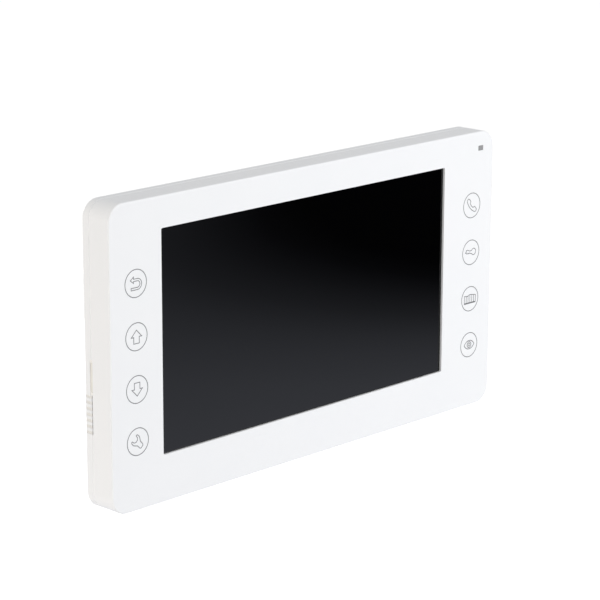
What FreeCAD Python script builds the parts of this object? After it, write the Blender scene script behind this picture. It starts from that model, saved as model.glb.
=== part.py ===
"""Wall-mounted video intercom monitor, modelled as a parametric FreeCAD document.

Millimetres, +X to the right seen from the front, +Z up, the screen faces -Y.
The origin is the centre of the wall bracket's screw pattern, on the wall plane (y = 0).
Every depth below is a distance from the wall, so a depth of 20.4 lies at y = -20.4.
"""
import FreeCAD, Part
import math
import os
import re
import Sketcher
from FreeCAD import Rotation, Vector

# ---------------------------------------------------------------- driving dimensions
DIMENSIONS = {
    # case
    "case_width": 213.0,
    "case_height": 117.2,
    "corner_radius": 7.0,
    "total_depth": 20.4,
    "parting_depth": 9.7,
    "rear_depth": 6.0,
    "front_wall": 2.2,
    "side_wall": 2.0,
    "rear_wall": 2.0,
    "front_edge_radius": 0.6,
    "rear_edge_radius": 0.6,
    "parting_chamfer": 0.25,
    "lip_depth": 1.5,
    "lip_thickness": 1.0,
    "lip_clearance": 0.1,
    # display window in the front
    "window_width": 157.1,
    "window_height": 86.5,
    "window_x": -2.5,
    "window_z": 3.15,
    "window_radius": 0.7,
    "window_recess": 0.95,
    "lens_overlap": 3.0,
    "lens_clearance": 0.15,
    # liquid crystal display module
    "gasket_thickness": 0.5,
    "gasket_width": 3.6,
    "gasket_margin": 0.8,
    "glass_side_border": 4.4,
    "glass_end_border": 6.65,
    "glass_drop": 2.0,
    "glass_thickness": 1.4,
    "backlight_thickness": 2.1,
    "tray_clearance": 0.1,
    "tray_side": 0.4,
    "tray_back": 0.3,
    "tray_radius": 0.6,
    "clamp_half_spacing": 57.5,
    "clamp_width": 8.0,
    "clamp_reach": 4.6,
    "clamp_thickness": 0.8,
    "clamp_post_radius": 2.2,
    "clamp_post_merge": 0.2,
    "clamp_wall_gap": 0.3,
    "clamp_screw_length": 3.8,
    "clamp_head_radius": 1.8,
    "pilot_floor": 0.6,
    # touch key boards
    "key_column_left": -93.8,
    "key_column_right": 93.5,
    "key_column_z": -2.0,
    "key_board_width": 13.6,
    "key_board_height": 80.0,
    "key_board_thickness": 1.0,
    "key_tape_thickness": 0.2,
    "key_board_radius": 1.0,
    "key_tape_margin": 0.3,
    "touch_chip_drop": 20.0,
    "touch_chip_size": 5.0,
    "key_chip_height": 1.5,
    "key_connector_rise": 20.0,
    "key_connector_width": 5.0,
    "key_connector_height": 9.0,
    "ribbon_thickness": 0.2,
    "ribbon_clearance": 0.3,
    "ribbon_landing": 8.0,
    "ribbon_entry": 1.0,
    "key_ribbon_width": 7.0,
    "led_ribbon_width": 3.0,
    "led_ribbon_bend": 0.5,
    "display_ribbon_width": 24.0,
    "display_ribbon_slope": 4.0,
    "display_ribbon_landing": 14.0,
    # status light
    "light_x": 98.5,
    "light_z": 51.6,
    "light_width": 3.1,
    "light_height": 2.1,
    "light_clearance": 0.05,
    "light_flange": 1.0,
    "light_flange_rim": 0.9,
    "led_width": 2.0,
    "led_length": 1.25,
    "led_height": 0.7,
    "led_board_thickness": 1.0,
    "led_board_width": 5.2,
    "led_board_height": 7.2,
    "led_rib": 1.0,
    # case screws
    "case_screw_side_inset": 13.8,
    "case_screw_end_inset": 6.7,
    "case_boss_radius": 3.0,
    "cover_boss_radius": 3.8,
    "cover_boss_depth": 1.0,
    "case_head_radius": 2.5,
    "case_head_height": 1.7,
    "case_head_clearance": 0.3,
    "case_thread_radius": 1.3,
    "case_hole_radius": 1.6,
    "case_screw_length": 7.0,
    "driver_recess": 0.8,
    # raised ring and bracket recess on the back
    "ring_side_width": 14.0,
    "ring_end_width": 7.0,
    "ring_depth": 0.6,
    "ring_radius": 5.0,
    "ring_edge_radius": 0.8,
    "recess_side_clearance": 4.0,
    "recess_lift_clearance": 1.0,
    "recess_depth": 4.4,
    "recess_radius": 3.0,
    "rear_vent_half_count": 7,
    "rear_vent_pitch": 4.0,
    "rear_vent_length": 24.0,
    "rear_slot_radius": 0.8,
    # wall bracket
    "bracket_thickness": 1.2,
    "bracket_half_width": 50.0,
    "bracket_half_height": 32.0,
    "bracket_radius": 4.0,
    "wall_screw_x": 42.0,
    "wall_screw_z": 26.0,
    "wall_hole_radius": 2.25,
    "box_screw_x": 30.0,
    "box_slot_length": 8.0,
    "box_slot_radius": 2.2,
    "bracket_opening_width": 46.0,
    "bracket_opening_height": 32.0,
    "bracket_opening_radius": 3.0,
    "hook_x": 40.0,
    "hook_upper_z": 8.0,
    "hook_lower_z": -18.0,
    "hook_width": 12.0,
    "hook_gap": 0.4,
    "hook_side_clearance": 0.6,
    "hook_bend_radius": 1.0,
    "hook_lift": 8.0,
    "hook_entry_clearance": 0.5,
    # main board
    "board_front_depth": 12.2,
    "board_thickness": 1.6,
    "board_side_gap": 1.8,
    "board_right": 56.0,
    "board_half_height": 38.0,
    "board_notch_x": -66.5,
    "board_notch_z": -16.2,
    "board_screw_x": 50.2,
    "board_screw_z": 34.0,
    "card_post_inset": 6.0,
    "card_post_z": 30.0,
    "board_post_radius": 2.7,
    "board_thread_radius": 1.0,
    "board_hole_radius": 1.3,
    "board_head_radius": 2.1,
    "board_head_height": 1.1,
    "board_screw_length": 4.0,
    # memory card and its socket
    "card_z": -7.1,
    "card_width": 11.0,
    "card_length": 15.0,
    "card_thickness": 1.0,
    "card_nose_width": 9.7,
    "card_nose_length": 6.4,
    "card_bevel": 0.6,
    "card_recess": 0.3,
    "card_play": 0.15,
    "card_slot_width": 13.4,
    "card_slot_height": 1.5,
    "socket_sheet": 0.3,
    "socket_side": 1.3,
    "socket_length": 15.4,
    "socket_end": 1.0,
    "socket_gap": 1.4,
    # side vents
    "vent_count": 7,
    "vent_pitch": 2.28,
    "vent_width": 1.1,
    "vent_top_z": -14.6,
    "vent_edge": 0.6,
    "vent_relief": 0.5,
    # speaker
    "speaker_side_gap": 3.8,
    "speaker_z": -32.6,
    "speaker_radius": 15.5,
    "speaker_rim": 1.6,
    "speaker_height": 2.8,
    "speaker_floor": 0.5,
    "speaker_gasket": 0.6,
    "magnet_radius": 7.0,
    "magnet_height": 1.9,
    "speaker_rib": 1.0,
    "speaker_rib_height": 2.0,
    "speaker_fit": 0.2,
    "grille_half_count": 3,
    "grille_pitch": 3.4,
    "grille_radius": 12.5,
    "cone_rest": 0.4,
    "cone_sheet": 0.35,
    "cone_centre_radius": 4.0,
    # microphone
    "microphone_x": 30.0,
    "microphone_depth": 14.7,
    "microphone_radius": 2.0,
    "microphone_height": 1.5,
    "boot_radius": 3.3,
    "boot_height": 4.6,
    "boot_floor": 1.2,
    "sound_hole_radius": 0.7,
    # plug sockets on the board, reached through the cover's window
    "bay_width": 40.0,
    "bay_height": 22.0,
    "bay_radius": 1.5,
    "plug_socket_height": 7.0,
    "plug_socket_wide": 12.4,
    "plug_socket_narrow": 7.4,
    "plug_socket_deep": 5.8,
    "plug_socket_wall": 0.8,
    "plug_socket_floor": 1.6,
    "plug_pitch": 2.5,
    "plug_pin": 0.64,
    "plug_pin_recess": 0.8,
    "plug_column_x": 9.0,
    "plug_row_z": 5.0,
    # capacitors, in a column under the raised ring
    "capacitor_z": 3.0,
    "capacitor_pitch": 9.0,
    "capacitor_radius": 3.15,
    "capacitor_height": 7.0,
    # flat connector for the display, on the board's front face
    "display_connector_x": -5.0,
    "display_connector_z": -21.0,
    "display_connector_width": 26.0,
    "display_connector_length": 4.0,
    "display_connector_height": 1.0,
    "heat_sink_margin": 1.0,
    "heat_sink_height": 2.2,
}

# Flat components on the board's rear face: place in X and Z, width, height and thickness.
COMPONENTS = {
    "processor": (20, 24, 14, 14, 1.2),
    "memory_chip": (0, 26, 12, 8, 1.1),
    "video_chip": (-22, 25, 9, 9, 1.1),
    "audio_amplifier": (-76, -9, 5, 6.2, 1.5),
    "power_inductor": (-61, 26, 7, 7, 4),
}
for name, numbers in COMPONENTS.items():
    for suffix, number in zip(("x", "z", "width", "height", "thickness"), numbers):
        DIMENSIONS[f"{name}_{suffix}"] = number

# Lengths and places that follow from the driving dimensions.
DERIVED = {
    "front_inner": "total_depth - front_wall",
    "rear_inner": "rear_depth + rear_wall",
    "recess_half_width": "bracket_half_width + recess_side_clearance",
    "recess_half_height": "bracket_half_height + hook_lift + recess_lift_clearance",
    "ring_half_width": "recess_half_width + ring_side_width",
    "ring_half_height": "recess_half_height + ring_end_width",
    "recess_inner": "recess_depth + rear_wall",
    "ring_inner": "ring_depth + rear_wall",
    "inner_width": "case_width - 2 * side_wall",
    "inner_height": "case_height - 2 * side_wall",
    "inner_radius": "corner_radius - side_wall",
    "lens_front": "total_depth - window_recess",
    "gasket_back": "front_inner - gasket_thickness",
    "glass_back": "gasket_back - glass_thickness",
    "light_guide_back": "glass_back - backlight_thickness",
    "tray_rear": "light_guide_back - tray_back",
    "glass_width": "window_width + 2 * glass_side_border",
    "glass_height": "window_height + 2 * glass_end_border",
    "glass_z": "window_z - glass_drop",
    "tray_inner_width": "glass_width + 2 * tray_clearance",
    "tray_inner_height": "glass_height + 2 * tray_clearance",
    "tray_outer_width": "tray_inner_width + 2 * tray_side",
    "tray_outer_height": "tray_inner_height + 2 * tray_side",
    "tray_top": "glass_z + tray_outer_height / 2",
    "tray_bottom": "glass_z - tray_outer_height / 2",
    "clamp_left_x": "window_x - clamp_half_spacing",
    "clamp_right_x": "window_x + clamp_half_spacing",
    "clamp_post_z": "inner_height / 2 - clamp_post_radius + clamp_post_merge",
    "key_board_front": "front_inner - key_tape_thickness",
    "key_board_back": "key_board_front - key_board_thickness",
    "light_flange_back": "front_inner - light_flange",
    "led_board_front": "light_flange_back - led_height",
    "led_board_back": "led_board_front - led_board_thickness",
    "case_screw_x": "case_width / 2 - case_screw_side_inset",
    "case_screw_z": "case_height / 2 - case_screw_end_inset",
    "boss_top": "rear_inner + cover_boss_depth",
    "board_left": "-inner_width / 2 + board_side_gap",
    "card_post_x": "board_left + card_post_inset",
    "capacitor_x": "-(ring_half_width + recess_half_width) / 2",
    "board_back": "board_front_depth - board_thickness",
    "card_mid": "board_back - socket_sheet - card_play - card_thickness / 2",
    "card_outer": "-case_width / 2 + card_recess",
    "socket_back": "board_back - 2 * socket_sheet - 2 * card_play - card_thickness",
    "socket_outer": "-case_width / 2 + side_wall + socket_gap",
    "socket_width": "card_width + 2 * card_play + 2 * socket_side",
    "hook_tip": "recess_inner + hook_gap + bracket_thickness",
    "hook_rise": "hook_lift + bracket_thickness - hook_entry_clearance",
    "speaker_x": "-inner_width / 2 + speaker_side_gap + speaker_radius",
    "speaker_front": "rear_inner + speaker_gasket",
    "speaker_back": "speaker_front + speaker_height",
    "vent_bottom_z": "vent_top_z - (vent_count - 1) * vent_pitch",
    "microphone_base": "-case_height / 2 + side_wall",
    "socket_mouth": "board_back - plug_socket_height",
    "socket_floor_top": "board_back - plug_socket_floor",
}

document = FreeCAD.newDocument("video_intercom_monitor")
sheet = document.addObject("Spreadsheet::Sheet", "Dims")
for row, (alias, number) in enumerate(DIMENSIONS.items(), start=1):
    sheet.set(f"A{row}", alias)
    sheet.set(f"B{row}", str(number))
    sheet.setAlias(f"B{row}", alias)
document.recompute()

PIECES = []


# ---------------------------------------------------------------- expressions
def expand(text):
    """The text with derived names written out and every alias read from the sheet."""
    def replace(match):
        word = match.group(0)
        if word in DERIVED:
            return f"({expand(DERIVED[word])})"
        if word in DIMENSIONS:
            return f"Dims.{word}"
        return word
    return re.sub(r"[a-z][a-z_]*", replace, str(text))


def value(text):
    """The number that an expression gives now."""
    number = sheet.evalExpression(expand(text))
    return float(getattr(number, "Value", number))


def bind(item, prop, text):
    item.setExpression(prop, expand(text))


# ---------------------------------------------------------------- outlines in sketches
def pin_point(sketch, geometry, point, across, up):
    """Hold one point of a sketch at a place given by two expressions."""
    for kind, text in (("DistanceX", across), ("DistanceY", up)):
        rule = Sketcher.Constraint(kind, -1, 1, geometry, point, value(text))
        bind(sketch, f"Constraints[{sketch.addConstraint(rule)}]", text)


def polygon(points):
    """A closed outline through points given as pairs of expressions."""
    def draw(sketch):
        first = sketch.GeometryCount
        places = [Vector(value(across), value(up), 0) for across, up in points]
        for index, start in enumerate(places):
            end = places[(index + 1) % len(places)]
            sketch.addGeometry(Part.LineSegment(start, end), False)
        for index, (across, up) in enumerate(points):
            following = first + (index + 1) % len(points)
            sketch.addConstraint(Sketcher.Constraint("Coincident", first + index, 2, following, 1))
            pin_point(sketch, first + index, 1, across, up)
    return draw


def rectangle(across, up, width, height):
    """A sharp rectangle about a centre."""
    left = f"({across}) - ({width}) / 2"
    right = f"({across}) + ({width}) / 2"
    low = f"({up}) - ({height}) / 2"
    high = f"({up}) + ({height}) / 2"
    return polygon([(left, low), (right, low), (right, high), (left, high)])


def circle(across, up, radius):
    def draw(sketch):
        centre = Vector(value(across), value(up), 0)
        index = sketch.addGeometry(Part.Circle(centre, Vector(0, 0, 1), value(radius)), False)
        rule = Sketcher.Constraint("Radius", index, value(radius))
        bind(sketch, f"Constraints[{sketch.addConstraint(rule)}]", radius)
        pin_point(sketch, index, 3, across, up)
    return draw


def arc(centre_across, centre_up, radius, start, end):
    turned = Part.Circle(Vector(centre_across, centre_up, 0), Vector(0, 0, 1), radius)
    return Part.ArcOfCircle(turned, math.radians(start), math.radians(end))


def rounded_rectangle(across, up, width, height, radius):
    """Four sides, held by their distance from the origin, joined by four equal tangent arcs."""
    def draw(sketch):
        first = sketch.GeometryCount
        half_width, half_height, bend = value(width) / 2, value(height) / 2, value(radius)
        left, right = value(across) - half_width, value(across) + half_width
        low, high = value(up) - half_height, value(up) + half_height
        sides = [
            (Vector(left + bend, low, 0), Vector(right - bend, low, 0)),
            (Vector(right, low + bend, 0), Vector(right, high - bend, 0)),
            (Vector(right - bend, high, 0), Vector(left + bend, high, 0)),
            (Vector(left, high - bend, 0), Vector(left, low + bend, 0)),
        ]
        corners = [
            arc(right - bend, low + bend, bend, 270, 360),
            arc(right - bend, high - bend, bend, 0, 90),
            arc(left + bend, high - bend, bend, 90, 180),
            arc(left + bend, low + bend, bend, 180, 270),
        ]
        sketch.addGeometry([Part.LineSegment(*ends) for ends in sides] + corners, False)
        for side in range(4):
            corner = first + 4 + side
            following = first + (side + 1) % 4
            sketch.addConstraint(Sketcher.Constraint("Tangent", first + side, 2, corner, 1))
            sketch.addConstraint(Sketcher.Constraint("Tangent", corner, 2, following, 1))
            level = "Horizontal" if side % 2 == 0 else "Vertical"
            sketch.addConstraint(Sketcher.Constraint(level, first + side))
        for corner in range(first + 4, first + 7):
            sketch.addConstraint(Sketcher.Constraint("Equal", corner, corner + 1))
        rule = Sketcher.Constraint("Radius", first + 4, bend)
        bind(sketch, f"Constraints[{sketch.addConstraint(rule)}]", radius)
        edges = [
            ("DistanceX", first + 1, f"({across}) + ({width}) / 2"),
            ("DistanceX", first + 3, f"({across}) - ({width}) / 2"),
            ("DistanceY", first + 0, f"({up}) - ({height}) / 2"),
            ("DistanceY", first + 2, f"({up}) + ({height}) / 2"),
        ]
        for kind, side, text in edges:
            rule = Sketcher.Constraint(kind, -1, 1, side, 1, value(text))
            bind(sketch, f"Constraints[{sketch.addConstraint(rule)}]", text)
    return draw


def slot(across, up, length, radius):
    """A round-ended slot along the sketch's first axis; length is end to end."""
    def draw(sketch):
        first = sketch.GeometryCount
        bend = value(radius)
        middle, level = value(across), value(up)
        reach = value(length) / 2 - bend
        sketch.addGeometry([
            Part.LineSegment(Vector(middle - reach, level - bend, 0),
                             Vector(middle + reach, level - bend, 0)),
            arc(middle + reach, level, bend, 270, 450),
            Part.LineSegment(Vector(middle + reach, level + bend, 0),
                             Vector(middle - reach, level + bend, 0)),
            arc(middle - reach, level, bend, 90, 270),
        ], False)
        for index in range(4):
            following = first + (index + 1) % 4
            sketch.addConstraint(Sketcher.Constraint("Tangent", first + index, 2, following, 1))
        sketch.addConstraint(Sketcher.Constraint("Equal", first + 1, first + 3))
        rule = Sketcher.Constraint("Radius", first + 1, bend)
        bind(sketch, f"Constraints[{sketch.addConstraint(rule)}]", radius)
        pin_point(sketch, first + 1, 3, f"({across}) + ({length}) / 2 - ({radius})", up)
        pin_point(sketch, first + 3, 3, f"({across}) - ({length}) / 2 + ({radius})", up)
    return draw


# ---------------------------------------------------------------- bodies and features
def new_body(label):
    body = document.addObject("PartDesign::Body", label)
    body.Label = label
    PIECES.append(body)
    return body


def add_sketch(body, role, offset, outlines):
    """A sketch parallel to one of the body's origin planes, holding closed outlines.

    On XZ_Plane the offset is a depth from the wall, on YZ_Plane a place along X
    and on XY_Plane a height along Z.
    """
    sketch = body.newObject("Sketcher::SketchObject", body.Label + "_sketch")
    plane = next(item for item in body.Origin.OriginFeatures if item.Role == role)
    sketch.AttachmentSupport = (plane, [""])
    sketch.MapMode = "FlatFace"
    bind(sketch, "AttachmentOffset.Base.z", offset)
    for draw in outlines:
        draw(sketch)
    return sketch


def add_pad(body, start, end, outlines, role="XZ_Plane"):
    """Material between two offsets of a plane, from the lower to the higher one."""
    pad = body.newObject("PartDesign::Pad", body.Label + "_pad")
    pad.Profile = add_sketch(body, role, start, outlines)
    bind(pad, "Length", f"({end}) - ({start})")
    return pad


def add_pocket(body, start, end, outlines, role="XZ_Plane"):
    """A cut between two offsets of a plane; it has to take material away."""
    document.recompute()
    before = body.Shape.Volume
    pocket = body.newObject("PartDesign::Pocket", body.Label + "_pocket")
    pocket.Profile = add_sketch(body, role, end, outlines)
    bind(pocket, "Length", f"({end}) - ({start})")
    document.recompute()
    if body.Shape.Volume >= before:
        raise RuntimeError(f"a pocket of {body.Label} cuts nothing")
    return pocket


def dress_edges(body, kind, size, chosen):
    """A fillet or chamfer on the edges of the body's tip that the test chooses."""
    document.recompute()
    base = body.Tip
    names = [f"Edge{index}" for index, edge in enumerate(base.Shape.Edges, start=1) if chosen(edge)]
    dress = body.newObject(f"PartDesign::{kind}", f"{body.Label}_{kind.lower()}")
    dress.Base = (base, names)
    bind(dress, "Radius" if kind == "Fillet" else "Size", size)
    return dress


def on_outline(depth, width, height, radius):
    """A test for edges that follow a centred rounded rectangle at a depth."""
    level, bend = -value(depth), value(radius)
    half_width, half_height = value(width) / 2, value(height) / 2

    def chosen(edge):
        box = edge.BoundBox
        flat = abs(box.YMin - level) < 1e-6 and abs(box.YMax - level) < 1e-6
        middle = edge.valueAt((edge.FirstParameter + edge.LastParameter) / 2)
        across, up = abs(middle.x) - half_width + bend, abs(middle.z) - half_height + bend
        if across > 0 and up > 0:
            return flat and abs(math.hypot(across, up) - bend) < 1e-4
        return flat and abs(max(across, up) - bend) < 1e-4
    return chosen


def on_case_outline(depth):
    return on_outline(depth, "case_width", "case_height", "corner_radius")


def add_box(label, left, right, start, end, low, high):
    """A plain block between two places along X, two depths and two heights."""
    block = document.addObject("Part::Box", label)
    block.Label = label
    bind(block, "Length", f"({right}) - ({left})")
    bind(block, "Width", f"({end}) - ({start})")
    bind(block, "Height", f"({high}) - ({low})")
    bind(block, "Placement.Base.x", left)
    bind(block, "Placement.Base.y", f"-({end})")
    bind(block, "Placement.Base.z", low)
    return block


def centred_block(label, across, up, width, height, start, end):
    """A plain block about a centre in X and Z, between two depths, as a piece of its own."""
    block = add_box(label, f"({across}) - ({width}) / 2", f"({across}) + ({width}) / 2", start, end,
                    f"({up}) - ({height}) / 2", f"({up}) + ({height}) / 2")
    PIECES.append(block)
    return block


def four_corners(across, up):
    """The four sign combinations of a place, as pairs of expressions."""
    return [(f"{side} * ({across})", f"{level} * ({up})") for side in (-1, 1) for level in (-1, 1)]


def cross_recesses(places, size):
    """Two crossed bars at each place, for a cross-head driver."""
    bars = []
    for across, up in places:
        arm, half = f"({size}) / 2", f"({size}) / 8"
        corners = [(arm, half), (half, half), (half, arm)]
        outline = []
        for turn in range(4):
            for along, beside in corners:
                turned = {
                    0: (along, beside), 1: (f"-({beside})", along),
                    2: (f"-({along})", f"-({beside})"), 3: (beside, f"-({along})"),
                }[turn]
                outline.append((f"({across}) + ({turned[0]})", f"({up}) + ({turned[1]})"))
        bars.append(polygon(outline))
    return bars


def add_screws(label, places, head_start, head_end, tip, head_radius, thread_radius):
    """A set of equal pan-head screws; the tip lies beyond the head, towards the front or back."""
    screws = new_body(label)
    heads = [circle(across, up, head_radius) for across, up in places]
    shanks = [circle(across, up, thread_radius) for across, up in places]
    add_pad(screws, head_start, head_end, heads)
    if value(tip) > value(head_end):
        add_pad(screws, head_end, tip, shanks)
        add_pocket(screws, head_start, f"{head_start} + driver_recess",
                   cross_recesses(places, head_radius))
    else:
        add_pad(screws, tip, head_start, shanks)
        add_pocket(screws, f"{head_end} - driver_recess", head_end,
                   cross_recesses(places, head_radius))
    return screws


CASE_SCREWS = four_corners("case_screw_x", "case_screw_z")
BOARD_SCREWS = four_corners("board_screw_x", "board_screw_z") + [("card_post_x", "card_post_z")]
CLAMP_SCREWS = [(side, f"{level} * (clamp_post_z)")
                for side in ("clamp_left_x", "clamp_right_x") for level in (-1, 1)]
# Each column's place in X, and the sign of X from the column towards the screen.
KEY_COLUMNS = {"left": ("key_column_left", 1), "right": ("key_column_right", -1)}
KEY_RIBBON_ENDS = {
    "left": "window_x - tray_outer_width / 2 + ribbon_landing",
    "right": "board_right - ribbon_landing",
}


# ---------------------------------------------------------------- case
def front_housing():
    """White moulded tray: the face with its screen window, the side walls, bosses and posts."""
    body = new_body("front_housing")
    outer = rounded_rectangle("0", "0", "case_width", "case_height", "corner_radius")
    add_pad(body, "parting_depth", "total_depth", [outer])
    dress_edges(body, "Fillet", "front_edge_radius", on_case_outline("total_depth"))
    dress_edges(body, "Chamfer", "parting_chamfer", on_case_outline("parting_depth"))
    inner = rounded_rectangle("0", "0", "inner_width", "inner_height", "inner_radius")
    add_pocket(body, "parting_depth", "front_inner", [inner])
    add_pocket(body, "front_inner", "lens_front", [rectangle(
        "window_x", "window_z", "window_width + 2 * lens_overlap", "window_height + 2 * lens_overlap")])
    add_pocket(body, "lens_front", "total_depth", [rounded_rectangle(
        "window_x", "window_z", "window_width", "window_height", "window_radius")])
    add_pad(body, "boss_top", "front_inner",
            [circle(across, up, "case_boss_radius") for across, up in CASE_SCREWS])
    add_pocket(body, "boss_top", "boss_top + case_screw_length",
               [circle(across, up, "case_thread_radius") for across, up in CASE_SCREWS])
    add_pad(body, "tray_rear", "front_inner",
            [circle(across, up, "clamp_post_radius") for across, up in CLAMP_SCREWS])
    add_pocket(body, "tray_rear", "front_inner - pilot_floor",
               [circle(across, up, "board_thread_radius") for across, up in CLAMP_SCREWS])
    rib_places = [f"light_z + {level} * (led_board_height / 2 - led_rib / 2)" for level in (-1, 1)]
    add_pad(body, "led_board_front", "front_inner",
            [rectangle("light_x", up, "led_board_width", "led_rib") for up in rib_places])
    add_pocket(body, "front_inner", "total_depth", [rectangle(
        "light_x", "light_z", "light_width", "light_height")])
    slot_half = "card_slot_height / 2"
    add_pocket(body, "-case_width / 2", "socket_outer", [rectangle(
        f"-(card_mid + {slot_half} + parting_depth) / 2", "card_z",
        f"card_mid + {slot_half} - parting_depth", "card_slot_width")], "YZ_Plane")
    add_pocket(body, "-case_width / 2", "socket_outer", [rectangle(
        "-parting_depth - vent_relief / 2", "(vent_top_z + vent_bottom_z) / 2",
        "vent_relief", "vent_top_z - vent_bottom_z + vent_width")], "YZ_Plane")
    add_pocket(body, "-case_height / 2", "-inner_height / 2",
               [circle("microphone_x", "-microphone_depth", "sound_hole_radius")], "XY_Plane")
    return body


def rear_cover():
    """Back shell: flat rim, raised hollow ring, recess for the bracket, posts, vents and lip."""
    body = new_body("rear_cover")
    outer = rounded_rectangle("0", "0", "case_width", "case_height", "corner_radius")
    add_pad(body, "rear_depth", "parting_depth", [outer])
    dress_edges(body, "Fillet", "rear_edge_radius", on_case_outline("rear_depth"))
    dress_edges(body, "Chamfer", "parting_chamfer", on_case_outline("parting_depth"))
    add_pad(body, "parting_depth", "parting_depth + lip_depth", [rounded_rectangle(
        "0", "0", "inner_width - 2 * lip_clearance", "inner_height - 2 * lip_clearance",
        "inner_radius - lip_clearance")])
    add_pocket(body, "rear_inner", "parting_depth + lip_depth", [rounded_rectangle(
        "0", "0", "inner_width - 2 * lip_clearance - 2 * lip_thickness",
        "inner_height - 2 * lip_clearance - 2 * lip_thickness",
        "inner_radius - lip_clearance - lip_thickness")])
    add_pad(body, "ring_depth", "rear_depth", [rounded_rectangle(
        "0", "0", "2 * ring_half_width", "2 * ring_half_height", "ring_radius")])
    dress_edges(body, "Fillet", "ring_edge_radius", on_outline(
        "ring_depth", "2 * ring_half_width", "2 * ring_half_height", "ring_radius"))
    add_pocket(body, "ring_inner", "rear_inner", [rounded_rectangle(
        "0", "0", "2 * (ring_half_width - rear_wall)", "2 * (ring_half_height - rear_wall)",
        "ring_radius - rear_wall")])
    add_pad(body, "ring_inner", "recess_inner", [rounded_rectangle(
        "0", "0", "2 * (recess_half_width + rear_wall)", "2 * (recess_half_height + rear_wall)",
        "recess_radius + rear_wall")])
    add_pocket(body, "ring_depth", "recess_depth", [rounded_rectangle(
        "0", "0", "2 * recess_half_width", "2 * recess_half_height", "recess_radius")])
    add_pad(body, "rear_inner", "boss_top",
            [circle(across, up, "cover_boss_radius") for across, up in CASE_SCREWS])
    add_pocket(body, "rear_depth", "rear_depth + case_head_height + case_head_clearance",
               [circle(across, up, "case_head_radius + case_head_clearance")
                for across, up in CASE_SCREWS])
    add_pocket(body, "rear_depth", "boss_top",
               [circle(across, up, "case_hole_radius") for across, up in CASE_SCREWS])
    floors = ["recess_inner"] * 4 + ["rear_inner"]
    for (across, up), floor in zip(BOARD_SCREWS, floors):
        add_pad(body, floor, "board_back", [circle(across, up, "board_post_radius")])
    add_pocket(body, "board_back - board_screw_length + board_thickness", "board_back",
               [circle(across, up, "board_thread_radius") for across, up in BOARD_SCREWS])
    for base in ("hook_upper_z", "hook_lower_z"):
        slots = [rectangle(f"{side} * hook_x",
                           f"{base} + (bracket_thickness - hook_lift - hook_side_clearance) / 2",
                           "hook_width + 2 * hook_side_clearance",
                           "hook_lift + hook_side_clearance + bracket_thickness")
                 for side in (-1, 1)]
        add_pocket(body, "recess_depth", "recess_inner", slots)
    add_pocket(body, "recess_depth", "recess_inner", [rounded_rectangle(
        "0", "0", "bay_width", "bay_height", "bay_radius")])
    add_pad(body, "rear_inner", "rear_inner + speaker_rib_height", [
        circle("speaker_x", "speaker_z", "speaker_radius + speaker_fit + speaker_rib"),
        circle("speaker_x", "speaker_z", "speaker_radius + speaker_fit")])
    add_pocket(body, "rear_depth", "rear_inner", [
        slot("speaker_x", f"speaker_z + {row} * grille_pitch",
             f"2 * sqrt(grille_radius ^ 2 - ({row} * grille_pitch) ^ 2)", "rear_slot_radius")
        for row in both_ways("grille_half_count")])
    add_pocket(body, "rear_depth", "rear_inner", [
        slot("(ring_half_width + case_width / 2) / 2", f"{row} * rear_vent_pitch",
             "rear_vent_length", "rear_slot_radius")
        for row in both_ways("rear_vent_half_count")])
    cut_side_openings(body)
    return body


def both_ways(count):
    """Whole numbers from minus to plus a named count."""
    return range(-DIMENSIONS[count], DIMENSIONS[count] + 1)


def cut_side_openings(body):
    """The card slot and the row of vents through the left wall and the lip behind it."""
    slot_half = "card_slot_height / 2"
    add_pocket(body, "-case_width / 2", "socket_outer", [rectangle(
        f"-(card_mid - {slot_half} + parting_depth + lip_depth) / 2", "card_z",
        f"parting_depth + lip_depth - card_mid + {slot_half}", "card_slot_width")], "YZ_Plane")
    vents = [rectangle("-(rear_depth + vent_edge + parting_depth + lip_depth) / 2",
                       f"vent_top_z - {index} * vent_pitch",
                       "parting_depth + lip_depth - rear_depth - vent_edge", "vent_width")
             for index in range(DIMENSIONS["vent_count"])]
    add_pocket(body, "-case_width / 2", "socket_outer", vents, "YZ_Plane")


def case_screws():
    head_end = "boss_top - cover_boss_depth"
    add_screws("case_screws", CASE_SCREWS, f"{head_end} - case_head_height", head_end,
               f"{head_end} + case_screw_length", "case_head_radius", "case_thread_radius")


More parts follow.
